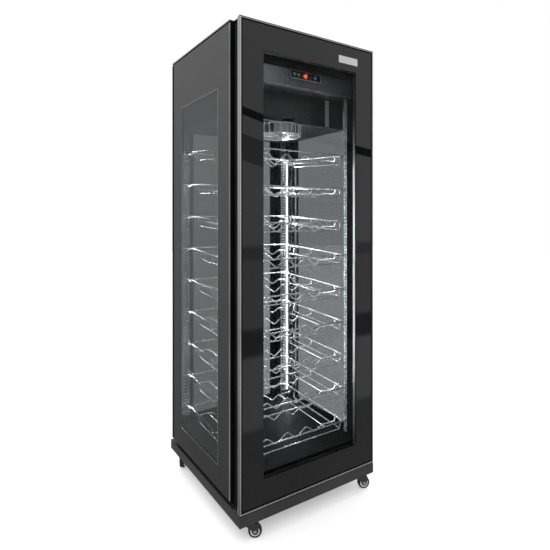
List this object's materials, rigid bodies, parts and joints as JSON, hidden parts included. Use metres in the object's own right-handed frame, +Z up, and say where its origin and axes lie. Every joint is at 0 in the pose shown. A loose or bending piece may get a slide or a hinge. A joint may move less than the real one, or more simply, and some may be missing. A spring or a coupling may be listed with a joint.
{
  "type": "wine cooler",
  "caption": "Free-standing display wine cooler with four glazed walls, a hinged full-height glass door, tilted wire bottle racks, a top cooling unit and swivel casters.",
  "frame": {"origin": "on the floor, at the centre of the footprint", "axes": "+Z up, -Y towards the door side, +X to the right of someone facing the door"},
  "size_m": [0.65, 0.65, 1.864],
  "materials": {
    "black_steel": "satin black powder coat",
    "black_plastic": "fine satin grain",
    "floor_plastic": "satin moulded tray",
    "aluminium": "brushed anodised",
    "chrome": "bright plated wire",
    "galvanised": "plain fins",
    "key_plastic": "satin keys",
    "rubber": "matt",
    "tyre": "matt polyurethane",
    "badge_metal": "brushed, blank",
    "lamp": "lit diffuser",
    "tinted_glass": "smoked, black printed border",
    "clear_glass": "clear low-emissivity pane"
  },
  "bodies": {
    "cabinet": {"base_plinth": "black_steel", "floor_pan": "floor_plastic", "post_front_left": "black_plastic", "post_front_right": "black_plastic", "post_rear_left": "black_plastic", "post_rear_right": "black_plastic", "top_cover": "black_steel", "left_outer_pane": "tinted_glass", "left_inner_pane": "clear_glass", "left_spacer": "aluminium", "right_outer_pane": "tinted_glass", "right_inner_pane": "clear_glass", "right_spacer": "aluminium", "rear_outer_pane": "tinted_glass", "rear_inner_pane": "clear_glass", "rear_spacer": "aluminium", "cable_gland": "black_plastic", "hinge_lower": "black_steel", "hinge_upper": "black_steel", "rack_1": "chrome", "rack_2": "chrome", "rack_3": "chrome", "rack_4": "chrome", "rack_5": "chrome", "rack_6": "chrome", "rack_7": "chrome", "rack_8": "chrome", "rack_9": "chrome", "standard_front_left": "chrome", "standard_front_right": "chrome", "standard_rear_left": "chrome", "standard_rear_right": "chrome", "light_strip_left": "lamp", "light_strip_right": "lamp", "evaporator_housing": "black_plastic", "evaporator_coil": "galvanised", "fan_guard": "chrome", "control_fascia": "black_plastic", "controller": "black_plastic", "compressor": "black_steel", "condenser": "galvanised"},
    "door": {"door_frame": "aluminium", "door_outer_pane": "tinted_glass", "door_spacer": "aluminium", "door_inner_pane": "clear_glass", "door_gasket": "rubber", "badge_plate": "badge_metal"},
    "evaporator_fan": {"evaporator_fan": "aluminium"},
    "condenser_fan": {"condenser_fan": "black_plastic"},
    "key_power": {"key_power": "key_plastic"},
    "key_light": {"key_light": "key_plastic"},
    "key_set": {"key_set": "key_plastic"},
    "caster_front_left": {"caster_fork_front_left": "black_steel"},
    "wheel_front_left": {"caster_wheel_front_left": "tyre"},
    "caster_front_right": {"caster_fork_front_right": "black_steel"},
    "wheel_front_right": {"caster_wheel_front_right": "tyre"},
    "caster_rear_left": {"caster_fork_rear_left": "black_steel"},
    "wheel_rear_left": {"caster_wheel_rear_left": "tyre"},
    "caster_rear_right": {"caster_fork_rear_right": "black_steel"},
    "wheel_rear_right": {"caster_wheel_rear_right": "tyre"}
  },
  "joints": [
    {"name": "door_hinge", "type": "hinge", "parent": "cabinet", "child": "door", "pos_m": [-0.311, -0.2985, 0.98], "axis": [0, 0, -1], "range_deg": [0, 110]},
    {"name": "evaporator_fan_spin", "type": "hinge", "parent": "cabinet", "child": "evaporator_fan", "pos_m": [0, -0.085, 1.522], "axis": [0, 0, 1], "continuous": true},
    {"name": "condenser_fan_spin", "type": "hinge", "parent": "cabinet", "child": "condenser_fan", "pos_m": [0.122, 0.161, 1.743], "axis": [0, 1, 0], "continuous": true},
    {"name": "key_power_press", "type": "slide", "parent": "cabinet", "child": "key_power", "axis": [0, 1, 0], "range_m": [0, 0.0012], "stiffness_N_per_m": 600, "springref_m": -0.0006},
    {"name": "key_light_press", "type": "slide", "parent": "cabinet", "child": "key_light", "axis": [0, 1, 0], "range_m": [0, 0.0012], "stiffness_N_per_m": 600, "springref_m": -0.0006},
    {"name": "key_set_press", "type": "slide", "parent": "cabinet", "child": "key_set", "axis": [0, 1, 0], "range_m": [0, 0.0012], "stiffness_N_per_m": 600, "springref_m": -0.0006},
    {"name": "caster_swivel_front_left", "type": "hinge", "parent": "cabinet", "child": "caster_front_left", "pos_m": [-0.271, -0.284, 0.06], "axis": [0, 0, 1], "continuous": true},
    {"name": "wheel_roll_front_left", "type": "hinge", "parent": "caster_front_left", "child": "wheel_front_left", "pos_m": [-0.24675, -0.298, 0.025], "axis": [0.5, 0.866, 0], "continuous": true},
    {"name": "caster_swivel_front_right", "type": "hinge", "parent": "cabinet", "child": "caster_front_right", "pos_m": [0.271, -0.284, 0.06], "axis": [0, 0, 1], "continuous": true},
    {"name": "wheel_roll_front_right", "type": "hinge", "parent": "caster_front_right", "child": "wheel_front_right", "pos_m": [0.29658, -0.29539, 0.025], "axis": [0.4067, 0.9135, 0], "continuous": true},
    {"name": "caster_swivel_rear_left", "type": "hinge", "parent": "cabinet", "child": "caster_rear_left", "pos_m": [-0.271, 0.284, 0.06], "axis": [0, 0, 1], "continuous": true},
    {"name": "wheel_roll_rear_left", "type": "hinge", "parent": "caster_rear_left", "child": "wheel_rear_left", "pos_m": [-0.28974, 0.26319, 0.025], "axis": [0.7431, -0.6691, 0], "continuous": true},
    {"name": "caster_swivel_rear_right", "type": "hinge", "parent": "cabinet", "child": "caster_rear_right", "pos_m": [0.271, 0.284, 0.06], "axis": [0, 0, 1], "continuous": true},
    {"name": "wheel_roll_rear_right", "type": "hinge", "parent": "caster_rear_right", "child": "wheel_rear_right", "pos_m": [0.29245, 0.266, 0.025], "axis": [0.6428, 0.766, 0], "continuous": true}
  ]
}
